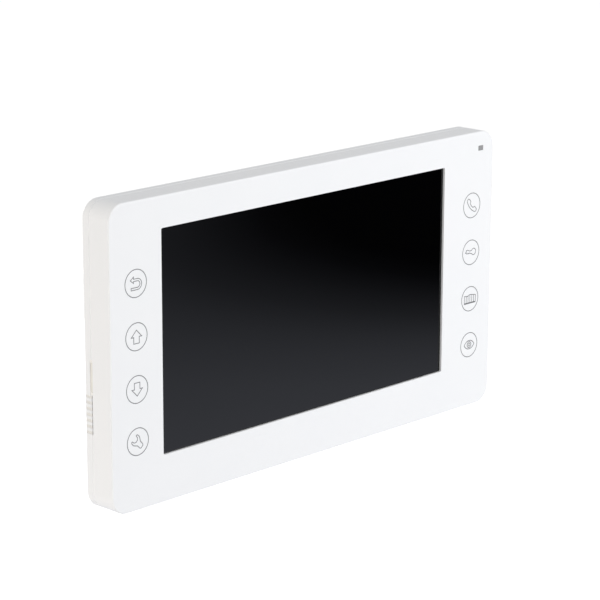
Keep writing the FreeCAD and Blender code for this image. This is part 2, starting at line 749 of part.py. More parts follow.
# ---------------------------------------------------------------- display
def display():
    """The clear window, the foam gasket and the display module behind it, with its clamps."""
    centred_block("display_window", "window_x", "window_z",
                  "window_width + 2 * (lens_overlap - lens_clearance)",
                  "window_height + 2 * (lens_overlap - lens_clearance)",
                  "front_inner", "lens_front")
    gasket = new_body("display_gasket")
    inner_width, inner_height = "window_width + 2 * gasket_margin", "window_height + 2 * gasket_margin"
    add_pad(gasket, "gasket_back", "front_inner", [
        rectangle("window_x", "window_z", f"{inner_width} + 2 * gasket_width",
                  f"{inner_height} + 2 * gasket_width"),
        rectangle("window_x", "window_z", inner_width, inner_height)])
    centred_block("lcd_glass", "window_x", "glass_z", "glass_width", "glass_height",
                  "glass_back", "gasket_back")
    centred_block("lcd_backlight", "window_x", "glass_z", "glass_width", "glass_height",
                  "light_guide_back", "glass_back")
    tray = new_body("lcd_tray")
    add_pad(tray, "tray_rear", "gasket_back", [rounded_rectangle(
        "window_x", "glass_z", "tray_outer_width", "tray_outer_height", "tray_radius")])
    add_pocket(tray, "light_guide_back", "gasket_back", [rectangle(
        "window_x", "glass_z", "tray_inner_width", "tray_inner_height")])
    clamps = new_body("lcd_clamps")
    outlines = []
    for side in ("clamp_left_x", "clamp_right_x"):
        for level, edge in ((1, "tray_top"), (-1, "tray_bottom")):
            reach = f"{edge} - {level} * clamp_reach"
            end = f"{level} * (inner_height / 2 - clamp_wall_gap)"
            outlines.append(rectangle(side, f"({reach} + {end}) / 2", "clamp_width",
                                      f"{level} * ({end} - ({reach}))"))
            outlines.append(circle(side, f"{level} * clamp_post_z", "board_hole_radius"))
    add_pad(clamps, "tray_rear - clamp_thickness", "tray_rear", outlines)
    head_end = "tray_rear - clamp_thickness"
    add_screws("lcd_screws", CLAMP_SCREWS, f"{head_end} - board_head_height", head_end,
               f"{head_end} + clamp_screw_length", "clamp_head_radius", "board_thread_radius")


# ---------------------------------------------------------------- keys and status light
def keys():
    """Touch boards taped behind the two columns of printed keys; nothing in them travels."""
    for side, (across, inward) in KEY_COLUMNS.items():
        centred_block(f"key_tape_{side}", across, "key_column_z",
                      "key_board_width - 2 * key_tape_margin",
                      "key_board_height - 2 * key_tape_margin", "key_board_front", "front_inner")
        board = new_body(f"key_board_{side}")
        add_pad(board, "key_board_back", "key_board_front", [rounded_rectangle(
            across, "key_column_z", "key_board_width", "key_board_height", "key_board_radius")])
        chip_back = "key_board_back - key_chip_height"
        centred_block(f"touch_chip_{side}", across, "key_column_z - touch_chip_drop",
                      "touch_chip_size", "touch_chip_size", chip_back, "key_board_back")
        centred_block(f"key_connector_{side}", across, "key_column_z + key_connector_rise",
                      "key_connector_width", "key_connector_height", chip_back, "key_board_back")
        tray_edge = f"window_x - {inward} * (tray_outer_width / 2 + ribbon_clearance)"
        landing = "board_front_depth + ribbon_thickness"
        ribbon(f"key_ribbon_{side}", "XY_Plane", [
            (f"{across} + {inward} * key_connector_width / 2", "key_board_back - ribbon_entry"),
            (tray_edge, "key_board_back - ribbon_entry"), (tray_edge, landing),
            (KEY_RIBBON_ENDS[side], landing)],
            "key_column_z + key_connector_rise", "key_ribbon_width", inward)


def status_light():
    """A clear pipe in the face, lit by a lamp on its own small board between two ribs."""
    pipe = new_body("light_pipe")
    add_pad(pipe, "light_flange_back", "front_inner", [rectangle(
        "light_x", "light_z", "light_width + 2 * light_flange_rim",
        "light_height + 2 * light_flange_rim")])
    add_pad(pipe, "front_inner", "total_depth - light_clearance", [rectangle(
        "light_x", "light_z", "light_width - 2 * light_clearance",
        "light_height - 2 * light_clearance")])
    centred_block("status_led", "light_x", "light_z", "led_width", "led_length", "led_board_front",
                  "light_flange_back")
    centred_block("led_board", "light_x", "light_z", "led_board_width", "led_board_height",
                  "led_board_back", "led_board_front")
    board_edge = "light_z - led_board_height / 2"
    key_edge = "key_column_z + key_board_height / 2"
    ribbon("led_ribbon", "YZ_Plane", [
        (f"{board_edge} + led_rib", "led_board_back"),
        (f"{board_edge} - led_ribbon_bend", "led_board_back"),
        (f"{key_edge} + led_ribbon_bend", "key_board_back"),
        (f"{key_edge} - ribbon_landing / 2", "key_board_back")],
        "light_x - led_ribbon_width / 2", "led_ribbon_width")


def ribbon(label, role, path, middle, width, upright=0):
    """A flat cable along a path of places and front-face depths, swept to its width.

    In XY_Plane the places lie along X, in YZ_Plane along Z. Upright is the sign of the travel
    on a path whose middle run goes straight back, which keeps that run's thickness too.
    """
    body = new_body(label)
    near = [(along, f"-({depth})") for along, depth in path]
    far = [(along, f"-({depth}) + ribbon_thickness") for along, depth in path]
    for index in (1, 2):
        along, back = far[index]
        far[index] = (f"{along} - {upright} * ribbon_thickness", back)
    points = near + far[::-1]
    if role == "YZ_Plane":
        points = [(back, along) for along, back in points]
    add_pad(body, f"{middle} - {width} / 2", f"{middle} + {width} / 2", [polygon(points)], role)
    return body


# ---------------------------------------------------------------- main board
def main_board():
    """The circuit board on five posts of the rear cover, with what is soldered on it."""
    board = new_body("main_board")
    high, low = "board_half_height", "-board_half_height"
    outline = polygon([
        ("board_notch_x", low), ("board_right", low), ("board_right", high), ("board_left", high),
        ("board_left", "board_notch_z"), ("board_notch_x", "board_notch_z")])
    holes = [circle(across, up, "board_hole_radius") for across, up in BOARD_SCREWS]
    add_pad(board, "board_back", "board_front_depth", [outline] + holes)
    add_screws("board_screws", BOARD_SCREWS, "board_front_depth",
               "board_front_depth + board_head_height", "board_front_depth - board_screw_length",
               "board_head_radius", "board_thread_radius")
    for name in COMPONENTS:
        centred_block(name, f"{name}_x", f"{name}_z", f"{name}_width", f"{name}_height",
                      f"board_back - {name}_thickness", "board_back")
    centred_block("processor_heat_sink", "processor_x", "processor_z",
                  "processor_width + 2 * heat_sink_margin", "processor_height + 2 * heat_sink_margin",
                  "board_back - processor_thickness - heat_sink_height",
                  "board_back - processor_thickness")
    capacitors = new_body("capacitors")
    add_pad(capacitors, "board_back - capacitor_height", "board_back", [
        circle("capacitor_x", f"capacitor_z + {row} * capacitor_pitch", "capacitor_radius")
        for row in (-1, 0, 1)])
    centred_block("display_connector", "display_connector_x", "display_connector_z",
                  "display_connector_width", "display_connector_length", "board_front_depth",
                  "board_front_depth + display_connector_height")
    entry = "display_connector_z - display_connector_length / 2"
    level = "board_front_depth + display_connector_height / 2"
    ribbon("display_ribbon", "YZ_Plane", [
        (entry, level), (f"{entry} - display_ribbon_slope / 2", level),
        (f"{entry} - display_ribbon_slope * 3 / 2", "tray_rear"),
        (f"{entry} - display_ribbon_slope * 3 / 2 - display_ribbon_landing", "tray_rear")],
        "display_connector_x", "display_ribbon_width")
    plug_sockets()
    memory_card()


def plug_sockets():
    """Pin sockets for the door stations, a second monitor and the power lead."""
    layout = {
        "door_socket_one": (-1, 1, "plug_socket_wide", 4),
        "door_socket_two": (1, 1, "plug_socket_wide", 4),
        "monitor_socket": (-1, -1, "plug_socket_wide", 4),
        "power_socket": (1, -1, "plug_socket_narrow", 2),
    }
    pins = new_body("socket_pins")
    outlines = []
    for label, (side, level, width, count) in layout.items():
        across, up = f"{side} * plug_column_x", f"{level} * plug_row_z"
        socket = new_body(label)
        add_pad(socket, "socket_mouth", "board_back", [rectangle(across, up, width, "plug_socket_deep")])
        add_pocket(socket, "socket_mouth", "socket_floor_top", [rectangle(
            across, up, f"{width} - 2 * plug_socket_wall", "plug_socket_deep - 2 * plug_socket_wall")])
        for index in range(count):
            shift = f"{index - (count - 1) / 2} * plug_pitch"
            outlines.append(rectangle(f"{across} + {shift}", up, "plug_pin", "plug_pin"))
    add_pad(pins, "socket_mouth + plug_pin_recess", "socket_floor_top", outlines)


def memory_card():
    """A sheet-metal card socket on the board and the card that slides in it through the slot."""
    socket = new_body("card_socket")
    centre = "-(socket_back + board_back) / 2"
    add_pad(socket, "socket_outer", "socket_outer + socket_length", [rectangle(
        centre, "card_z", "board_back - socket_back", "socket_width")], "YZ_Plane")
    add_pocket(socket, "socket_outer", "socket_outer + socket_length - socket_end", [rectangle(
        "-card_mid", "card_z", "card_thickness + 2 * card_play", "card_width + 2 * card_play")],
        "YZ_Plane")
    card = new_body("memory_card")
    left, right = "card_outer", "card_outer + card_length"
    low, high = "card_z - card_width / 2", "card_z + card_width / 2"
    nose, shoulder = f"{low} + card_nose_width", f"{right} - card_nose_length"
    add_pad(card, "card_mid - card_thickness / 2", "card_mid + card_thickness / 2", [polygon([
        (left, low), (f"{right} - card_bevel", low), (right, f"{low} + card_bevel"),
        (right, f"{nose} - card_bevel"), (f"{right} - card_bevel", nose), (shoulder, nose),
        (f"{shoulder} - (card_width - card_nose_width)", high), (left, high)])])


# ---------------------------------------------------------------- sound
def round_piece(label, across, up, start, end, radius, hollow=None):
    """A disc or ring about an axis along Y."""
    body = new_body(label)
    outlines = [circle(across, up, radius)]
    if hollow:
        outlines.append(circle(across, up, hollow))
    add_pad(body, start, end, outlines)
    return body


def speaker():
    """A flat speaker facing the grille at the back, sealed to the cover with a foam ring."""
    centre = ("speaker_x", "speaker_z")
    round_piece("speaker_gasket", *centre, "rear_inner", "speaker_front", "speaker_radius",
                "speaker_radius - speaker_rim")
    frame = round_piece("speaker_frame", *centre, "speaker_front", "speaker_back", "speaker_radius")
    add_pocket(frame, "speaker_front", "speaker_back - speaker_floor",
               [circle(*centre, "speaker_radius - speaker_rim")])
    round_piece("speaker_magnet", *centre, "speaker_back", "speaker_back + magnet_height",
                "magnet_radius")
    cone = document.addObject("Part::Cut", "speaker_cone")
    cone.Label = "speaker_cone"
    cone.Base = cone_solid("speaker_cone_outside", "0")
    cone.Tool = cone_solid("speaker_cone_inside", "cone_sheet")
    PIECES.append(cone)


def cone_solid(name, inset):
    """A cone frustum with its wide end at the speaker's rim, opening towards the wall."""
    solid = document.addObject("Part::Cone", name)
    solid.Placement.Rotation = Rotation(Vector(1, 0, 0), 90)
    bind(solid, "Radius1", f"speaker_radius - speaker_rim - {inset}")
    bind(solid, "Radius2", f"cone_centre_radius - {inset}")
    bind(solid, "Height", "speaker_height - speaker_floor - cone_rest")
    bind(solid, "Placement.Base.x", "speaker_x")
    bind(solid, "Placement.Base.y", f"{inset} - speaker_front - cone_rest")
    bind(solid, "Placement.Base.z", "speaker_z")
    return solid


def microphone():
    """A capsule in a rubber boot, on the sound hole in the bottom wall."""
    centre = ("microphone_x", "-microphone_depth")
    boot = new_body("microphone_boot")
    add_pad(boot, "microphone_base", "microphone_base + boot_height",
            [circle(*centre, "boot_radius"), circle(*centre, "sound_hole_radius")], "XY_Plane")
    add_pocket(boot, "microphone_base + boot_floor", "microphone_base + boot_height",
               [circle(*centre, "microphone_radius")], "XY_Plane")
    capsule = new_body("microphone")
    add_pad(capsule, "microphone_base + boot_floor",
            "microphone_base + boot_floor + microphone_height",
            [circle(*centre, "microphone_radius")], "XY_Plane")


# ---------------------------------------------------------------- wall bracket
def wall_bracket():
    """Steel plate on the wall with four upturned hooks bent out of it."""
    body = new_body("wall_bracket")
    holes = [circle(across, up, "wall_hole_radius")
             for across, up in four_corners("wall_screw_x", "wall_screw_z")]
    slots = [slot(f"{side} * box_screw_x", "0", "box_slot_length", "box_slot_radius")
             for side in (-1, 1)]
    opening = rounded_rectangle("0", "0", "bracket_opening_width", "bracket_opening_height",
                                "bracket_opening_radius")
    plate = rounded_rectangle("0", "0", "2 * bracket_half_width", "2 * bracket_half_height",
                              "bracket_radius")
    windows = []
    for base in ("hook_upper_z", "hook_lower_z"):
        windows += [rectangle(f"{side} * hook_x", f"{base} + bracket_thickness + hook_lift / 2",
                              "hook_width", "hook_lift") for side in (-1, 1)]
    add_pad(body, "0", "bracket_thickness", [plate, opening] + holes + slots + windows)
    for side in (-1, 1):
        for base in ("hook_upper_z", "hook_lower_z"):
            profile = polygon([
                ("-bracket_thickness", base), ("-hook_tip", base),
                ("-hook_tip", f"{base} + hook_rise"),
                ("-hook_tip + bracket_thickness", f"{base} + hook_rise"),
                ("-hook_tip + bracket_thickness", f"{base} + bracket_thickness"),
                ("-bracket_thickness", f"{base} + bracket_thickness")])
            add_pad(body, f"{side} * hook_x - hook_width / 2", f"{side} * hook_x + hook_width / 2",
                    [profile], "YZ_Plane")
    tip, bases = value("-hook_tip"), [value("hook_upper_z"), value("hook_lower_z")]

    def outer_bend(edge):
        box = edge.BoundBox
        along = abs(box.XLength - value("hook_width")) < 1e-6
        at_tip = abs(box.YMin - tip) < 1e-6 and abs(box.YMax - tip) < 1e-6
        return along and at_tip and any(abs(box.ZMax - base) < 1e-6 for base in bases)
    dress_edges(body, "Fillet", "hook_bend_radius", outer_bend)


def check_document():
    """Stop if any object failed or any piece is not a sound shape."""
    document.recompute()
    for item in document.Objects:
        if {"Invalid", "Error"} & set(item.State):
            raise RuntimeError(f"{item.Label} did not build: {item.State}")
    for piece in PIECES:
        shape = piece.Shape
        if shape.isNull() or not shape.isValid() or not shape.Solids:
            raise RuntimeError(f"{piece.Label} is not a sound solid")


def write_pieces():
    os.makedirs("parts", exist_ok=True)
    for piece in PIECES:
        piece.Shape.exportStep(os.path.join("parts", f"{piece.Label}.step"))
        print(f"{piece.Label:22s} {len(piece.Shape.Solids):2d} solid(s) {piece.Shape.Volume:10.1f} mm3")


wall_bracket()
front_housing()
rear_cover()
case_screws()
display()
keys()
status_light()
main_board()
speaker()
microphone()
check_document()
write_pieces()
print(len(PIECES), "pieces")
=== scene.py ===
# %% [markdown]
# # A video intercom monitor, finished in Blender
#
# The CAD model brings the construction: the white case, the display, the boards behind
# it and the steel bracket on the wall. This lesson gives every one of those pieces its
# finish, prints the eight touch keys on the face and lights the whole like a product on
# a white table. The part's frame is kept: X to the right, Z up, the face looks to -Y.

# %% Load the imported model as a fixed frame
import math

import bpy
import numpy as np
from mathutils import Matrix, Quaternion, Vector


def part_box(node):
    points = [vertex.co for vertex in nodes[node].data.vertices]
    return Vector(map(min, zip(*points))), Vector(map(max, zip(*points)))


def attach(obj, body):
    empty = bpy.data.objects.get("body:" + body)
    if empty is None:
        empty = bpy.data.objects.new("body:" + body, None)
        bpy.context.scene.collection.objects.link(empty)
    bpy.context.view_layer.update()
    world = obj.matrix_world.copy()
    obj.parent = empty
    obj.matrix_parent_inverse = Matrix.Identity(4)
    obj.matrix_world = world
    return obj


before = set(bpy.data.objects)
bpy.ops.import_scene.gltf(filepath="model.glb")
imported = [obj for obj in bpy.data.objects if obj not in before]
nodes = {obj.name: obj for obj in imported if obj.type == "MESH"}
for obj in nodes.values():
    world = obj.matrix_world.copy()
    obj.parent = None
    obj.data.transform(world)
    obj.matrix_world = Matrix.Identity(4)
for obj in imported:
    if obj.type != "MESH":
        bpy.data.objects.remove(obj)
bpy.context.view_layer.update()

MM = 0.001
print("pieces from the CAD model:", len(nodes))

# %% [markdown]
# ## Where things are
#
# The new pieces and the display's finish have to meet the CAD pieces exactly, so their
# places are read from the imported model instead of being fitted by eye. The face is the
# front of the front housing, and the touch keys sit over their sensing boards.

# %% Read the face and the key columns
face_low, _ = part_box("front_housing")
FACE_Y = face_low.y
window_low, window_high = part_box("display_window")
key_boards = [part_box("key_board_left"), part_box("key_board_right")]
KEY_COLUMNS = [(low.x + high.x) / 2 for low, high in key_boards]
KEY_MIDDLE = (key_boards[0][0].z + key_boards[0][1].z) / 2
print("face at y =", round(FACE_Y / MM, 2), "mm; key columns at x =",
      [round(x / MM, 2) for x in KEY_COLUMNS])

# %% [markdown]
# ## The camera
#
# A long lens from the left, a little above, shows the face, the left side and the top
# in one view. A long lens far away bends the lines less than a short one close by. The
# camera is placed by its coordinates and by the direction it looks in, which
# `to_track_quat` makes into a rotation. A last small turn about the line of sight
# levels the picture.

# %% Place the camera
CAMERA_PLACE = Vector((-0.6622, -0.6558, 0.2426))
LOOK_AZIMUTH = math.radians(45.81)
LOOK_ELEVATION = math.radians(-14.54)
CAMERA_ROLL = math.radians(-0.20)
LENS_MM = 145.6
SENSOR_MM = 36.0
CLIP_RANGE = (0.01, 50.0)

look = Vector((
    math.sin(LOOK_AZIMUTH) * math.cos(LOOK_ELEVATION),
    math.cos(LOOK_AZIMUTH) * math.cos(LOOK_ELEVATION),
    math.sin(LOOK_ELEVATION),
))
camera_data = bpy.data.cameras.new("camera")
camera_data.lens = LENS_MM
camera_data.sensor_width = SENSOR_MM
camera_data.clip_start = CLIP_RANGE[0]
camera_data.clip_end = CLIP_RANGE[1]
camera = bpy.data.objects.new("camera", camera_data)
bpy.context.scene.collection.objects.link(camera)
camera.rotation_mode = "QUATERNION"
camera.location = CAMERA_PLACE
camera.rotation_quaternion = Quaternion(look, CAMERA_ROLL) @ look.to_track_quat("-Z", "Y")
bpy.context.scene.camera = camera
bpy.context.scene.view_settings.view_transform = "Standard"
print("camera is", round(CAMERA_PLACE.length, 3), "m from the wall plane's centre")

# %% [markdown]
# ## Short words for node trees
#
# A material is a small circuit of nodes. A few helpers keep the circuits readable:
# `node` adds one node and sets its inputs, `wire` joins two sockets, and `here` gives
# the Object coordinates. Those are the part's own coordinates in metres, so a grain of
# 0.3 mm is written as 0.3 mm. The rest are sums that come back again and again: noise
# of a given size, a number or a colour that follows it, and relief.

# %% Helpers: a node, a wire and a place
def node(tree, kind, inputs=None, **settings):
    """Adds a node of that kind, with its settings and input values."""
    made = tree.nodes.new("ShaderNode" + kind)
    for name, value in settings.items():
        setattr(made, name, value)
    for name, value in (inputs or {}).items():
        made.inputs[name].default_value = value
    return made


def wire(tree, source, target):
    """Joins an output socket to an input socket."""
    tree.links.new(source, target)


def here(tree, stretch=(1, 1, 1), turn=(0, 0, 0)):
    """Object coordinates, stretched and turned by a Mapping node."""
    place = node(tree, "TexCoord")
    mapping = node(tree, "Mapping", {"Scale": stretch, "Rotation": turn})
    wire(tree, place.outputs["Object"], mapping.inputs["Vector"])
    return mapping.outputs["Vector"]


# %% Helpers: noise and what follows it
def noise(tree, size, detail=3.0, rough=0.55, stretch=(1, 1, 1), turn=(0, 0, 0)):
    """Noise whose blotches are about `size` metres across."""
    made = node(tree, "TexNoise", {"Scale": 1 / size, "Detail": detail, "Roughness": rough})
    wire(tree, here(tree, stretch, turn), made.inputs["Vector"])
    return made.outputs["Fac"]


def between(tree, factor, low, high, start=0.3, end=0.7):
    """A number that runs from low to high while the factor runs from start to end."""
    made = node(tree, "MapRange", {"From Min": start, "From Max": end,
                                   "To Min": low, "To Max": high})
    wire(tree, factor, made.inputs["Value"])
    return made.outputs["Result"]


def blend_colours(tree, factor, first, second):
    """A colour that runs from first to second with the factor; each may be a socket."""
    made = node(tree, "Mix", data_type="RGBA")
    wire(tree, factor, made.inputs["Factor"])
    for socket, colour in ((made.inputs[6], first), (made.inputs[7], second)):
        if isinstance(colour, bpy.types.NodeSocket):
            wire(tree, colour, socket)
        else:
            socket.default_value = (*colour, 1.0)
    return made.outputs[2]


# %% Helpers: sums and coordinates
def calculate(tree, operation, first, second=None):
    """One Math node; each input is a number or a socket."""
    made = node(tree, "Math", operation=operation)
    for socket, value in zip(made.inputs, (first, second)):
        if isinstance(value, bpy.types.NodeSocket):
            wire(tree, value, socket)
        elif value is not None:
            socket.default_value = value
    return made.outputs["Value"]


def coordinate(tree, axis):
    """One of the Object coordinates X, Y or Z, in metres."""
    place = node(tree, "TexCoord")
    parts = node(tree, "SeparateXYZ")
    wire(tree, place.outputs["Object"], parts.inputs["Vector"])
    return parts.outputs[axis]


# %% Helpers: relief and a new finish
def relief(tree, height, depth, strength=1.0):
    """A Bump node that raises the surface by depth metres times height."""
    made = node(tree, "Bump", {"Strength": strength, "Distance": depth})
    wire(tree, height, made.inputs["Height"])
    return made.outputs["Normal"]


def finish_named(name, **constants):
    """A new material, its node tree and its shader with these constant inputs."""
    material = bpy.data.materials.new(name)
    material.use_nodes = True
    tree = material.node_tree
    shader = tree.nodes["Principled BSDF"]
    for socket, value in constants.items():
        shader.inputs[socket.replace("_", " ")].default_value = value
    return material, tree, shader


# %% [markdown]
# ## The table and the light
#
# The monitor is shown over a white table, in light that comes from all round. The
# table is a plain plane. Seen by the camera it also glows a little, which whitens it
# and still keeps a soft shadow. Seen in the glass of the display, it is bright near the
# object and falls off sideways into a dark room, and that gives the black glass its
# gradient. The line where the dark begins is bent: it is nearest at the crest, and moves
# out with the square of how far a place lies before or behind it. Far out, the table
# fades into the same even grey as the world, so that a straight view shows a plain grey
# glass.

# %% What the display's glass sees of the table
REFLECTED = [
    # distance in metres, brightness
    (0.00, 0.90), (0.30, 0.69), (0.52, 0.58), (0.65, 0.45), (0.72, 0.36),
    (0.82, 0.19), (0.91, 0.082), (0.97, 0.026), (1.03, 0.002),
]
REFLECTED_BEND = 2.0
REFLECTED_CREST = 0.90
REFLECTED_TINT = (0.92, 0.96, 1.10)
REFLECTED_REACH = 1.25
REFLECTED_ROOM = (0.60, 0.60, 0.62)
ROOM_FROM = 1.4
ROOM_TO = 3.0


def colour_in_glass(tree):
    """A ramp read at |x| - bend * (|y| - crest)^2, which passes into the room's grey as
    |y| runs from ROOM_FROM to ROOM_TO. All lengths are in metres."""
    sideways = calculate(tree, "ABSOLUTE", coordinate(tree, "X"))
    forward = calculate(tree, "ABSOLUTE", coordinate(tree, "Y"))
    from_crest = calculate(tree, "SUBTRACT", forward, REFLECTED_CREST)
    bend = calculate(tree, "MULTIPLY", calculate(tree, "POWER", from_crest, 2.0), REFLECTED_BEND)
    share = calculate(tree, "DIVIDE", calculate(tree, "SUBTRACT", sideways, bend), REFLECTED_REACH)
    ramp = node(tree, "ValToRGB")
    marks = ramp.color_ramp.elements
    while len(marks) < len(REFLECTED):
        marks.new(0.5)
    for mark, (distance, level) in zip(marks, REFLECTED):
        mark.position = distance / REFLECTED_REACH
        mark.color = (*(level * part for part in REFLECTED_TINT), 1.0)
    wire(tree, share, ramp.inputs["Fac"])
    far = between(tree, forward, 0.0, 1.0, ROOM_FROM, ROOM_TO)
    return blend_colours(tree, far, ramp.outputs["Color"], REFLECTED_ROOM)


# %% The table's finish
TABLE_COLOUR = (0.82, 0.82, 0.82)
TABLE_CLOUD_SIZE = 0.15
TABLE_CLOUD_SHADE = 0.985
GLOW_TO_CAMERA = 0.53


def mix_shaders(tree, share, first, second):
    """The first shader where the share is 0, the second where it is 1."""
    made = node(tree, "MixShader")
    wire(tree, share, made.inputs["Fac"])
    wire(tree, first, made.inputs[1])
    wire(tree, second, made.inputs[2])
    return made.outputs["Shader"]


def table_material():
    """Diffuse white that glows for the camera and shows colour_in_glass to reflections."""
    material, tree, shader = finish_named("table white", Roughness=0.9)
    cloudy = between(tree, noise(tree, TABLE_CLOUD_SIZE), 0.0, 1.0)
    shade = tuple(part * TABLE_CLOUD_SHADE for part in TABLE_COLOUR)
    wire(tree, blend_colours(tree, cloudy, TABLE_COLOUR, shade), shader.inputs["Base Color"])
    glow = node(tree, "Emission", {"Color": (1, 1, 1, 1), "Strength": GLOW_TO_CAMERA})
    whitened = node(tree, "AddShader")
    wire(tree, shader.outputs["BSDF"], whitened.inputs[0])
    wire(tree, glow.outputs["Emission"], whitened.inputs[1])
    mirrored = node(tree, "Emission")
    wire(tree, colour_in_glass(tree), mirrored.inputs["Color"])
    ray = node(tree, "LightPath")
    for_camera = mix_shaders(tree, ray.outputs["Is Camera Ray"], shader.outputs["BSDF"],
                             whitened.outputs["Shader"])
    for_all = mix_shaders(tree, ray.outputs["Is Glossy Ray"], for_camera,
                          mirrored.outputs["Emission"])
    wire(tree, for_all, tree.nodes["Material Output"].inputs["Surface"])
    return material


# %% The table itself
TABLE_DROP = 0.30
TABLE_HALF = 30.0

corner = np.array([(-1, -1), (1, -1), (1, 1), (-1, 1)], float) * TABLE_HALF
table_points = np.column_stack([corner, np.full(4, -TABLE_DROP)])
table_mesh = bpy.data.meshes.new("table")
table_mesh.from_pydata(table_points.tolist(), [], [(0, 1, 2, 3)])
table = bpy.data.objects.new("table", table_mesh)
table.data.materials.append(table_material())
bpy.context.scene.collection.objects.link(table)
print("table", TABLE_DROP, "m below the middle of the monitor")

# %% [markdown]
# The world is an even pale light, white to the camera. Soft boxes shape the object: the
# main one lights the face from the front and right, a weaker, warmer one the left side
# and its rounded corner, a very weak one lifts the foot of that side, and one behind
# lights the back. None stands right above the case, so its top gets the least light and
# is the greyest side.

# %% The even light of the world
WORLD_LEVEL = 0.60


def light_the_world():
    """An even light of WORLD_LEVEL, and plain white for the camera and through glass."""
    world = bpy.data.worlds.new("studio")
    bpy.context.scene.world = world
    world.use_nodes = True
    tree = world.node_tree
    even = tree.nodes["Background"]
    even.inputs["Color"].default_value = (1.0, 1.0, 1.0, 1.0)
    even.inputs["Strength"].default_value = WORLD_LEVEL
    white = node(tree, "Background", {"Color": (1, 1, 1, 1), "Strength": 1.0})
    ray = node(tree, "LightPath")
    seen = calculate(tree, "MAXIMUM", ray.outputs["Is Camera Ray"],
                     ray.outputs["Is Transmission Ray"])
    mixed = mix_shaders(tree, seen, even.outputs["Background"], white.outputs["Background"])
    wire(tree, mixed, tree.nodes["World Output"].inputs["Surface"])


light_the_world()
print("world level", WORLD_LEVEL)


# %% The soft boxes
WHITE_LIGHT = (1.0, 1.0, 1.0)
WARM_LIGHT = (1.0, 0.925, 0.82)
SOFT_BOXES = [
    # name, place in metres, side in metres, power in watts, colour
    ("main soft box", (0.45, -0.85, 0.30), 0.6, 4.95, WHITE_LIGHT),
    ("left soft box", (-0.75, -0.02, 0.10), 0.25, 1.50, WARM_LIGHT),
    ("low left soft box", (-0.20, -0.01, -0.13), 0.08, 0.0125, WARM_LIGHT),
    ("back soft box", (0.50, 1.00, -0.11), 0.34, 2.4, WHITE_LIGHT),
]


def soft_box(name, place, size, power, colour):
    """A square area lamp at that place, turned towards the object."""
    lamp = bpy.data.lights.new(name, "AREA")
    lamp.size = size
    lamp.energy = power
    lamp.color = colour
    made = bpy.data.objects.new(name, lamp)
    made.location = place
    made.rotation_mode = "QUATERNION"
    made.rotation_quaternion = (-Vector(place)).to_track_quat("-Z", "Y")
    made.visible_camera = False
    bpy.context.scene.collection.objects.link(made)


for lamp_row in SOFT_BOXES:
    soft_box(*lamp_row)
print("soft boxes:", len(SOFT_BOXES))

# %% [markdown]
# ## The white case
#
# The case is injection-moulded plastic with a satin face. The mould leaves a very fine
# even grain, finer than a human hair, which breaks the highlights up, and long soft
# waves where the plastic flowed. So the roughness and the colour drift over a few
# centimetres, and a fine noise gives the grain as relief.

# %% Finish: satin white plastic
def satin_white_plastic():
    """Moulded plastic: fine grain, slow drift of tone and gloss."""
    material, tree, shader = finish_named("satin white plastic", IOR=1.5,
                                          Specular_IOR_Level=0.45)
    drift = noise(tree, 40 * MM, detail=2.0)
    colour = blend_colours(tree, between(tree, drift, 0.0, 1.0),
                           (0.874, 0.886, 0.907), (0.888, 0.897, 0.915))
    wire(tree, colour, shader.inputs["Base Color"])
    wire(tree, between(tree, noise(tree, 3 * MM), 0.34, 0.44), shader.inputs["Roughness"])
    grain = noise(tree, 0.25 * MM, detail=2.0)
    wire(tree, relief(tree, grain, 0.003 * MM), shader.inputs["Normal"])
    return material


# %% [markdown]
# ## The display
#
# Switched off, the display is a black mirror. Its clear front lens is printed black
# round the edge, and the part that lights up, 154.08 x 85.92 mm on a 7-inch display, is
# a shade less deep. A wiped glass is never perfectly clean, so its gloss changes a
# little in large smears.

# %% Finish: gloss black display
ACTIVE_SIZE = (154.08 * MM, 85.92 * MM)


def inside(tree, axis, centre, half):
    """1 where the object coordinate along that axis is within half of centre, else 0."""
    offset = calculate(tree, "SUBTRACT", coordinate(tree, axis), centre)
    return calculate(tree, "LESS_THAN", calculate(tree, "ABSOLUTE", offset), half)


def gloss_black_display():
    """Black lens: a deep black border and a slightly lighter active field."""
    material, tree, shader = finish_named("gloss black display", IOR=1.5)
    middle = (window_low + window_high) / 2
    active = calculate(tree, "MULTIPLY",
                       inside(tree, "X", middle.x, ACTIVE_SIZE[0] / 2),
                       inside(tree, "Z", middle.z, ACTIVE_SIZE[1] / 2))
    colour = blend_colours(tree, active, (0.0003, 0.0003, 0.0004), (0.0006, 0.0006, 0.0008))
    wire(tree, colour, shader.inputs["Base Color"])
    smear = noise(tree, 30 * MM, detail=4.0, stretch=(1, 1, 0.4), turn=(0, 0.5, 0))
    wire(tree, between(tree, smear, 0.015, 0.05), shader.inputs["Roughness"])
    return material


# %% [markdown]
# ## Smoked plastic and ink
#
# The status light shines through a small smoked window: grey, smooth, a little cloudy.
# The key marks are printed with a grey ink. Screen-printed ink is slightly uneven where
# the mesh of the screen laid it down, so a fine noise varies its tone.

# %% Finish: smoked window and printed ink
def smoked_plastic():
    """Grey glossy plastic with faint clouds in it."""
    material, tree, shader = finish_named("smoked plastic", IOR=1.49)
    cloud = between(tree, noise(tree, 0.8 * MM), 0.0, 1.0)
    colour = blend_colours(tree, cloud, (0.30, 0.302, 0.308), (0.35, 0.352, 0.358))
    wire(tree, colour, shader.inputs["Base Color"])
    wire(tree, between(tree, noise(tree, 2 * MM), 0.12, 0.24), shader.inputs["Roughness"])
    return material


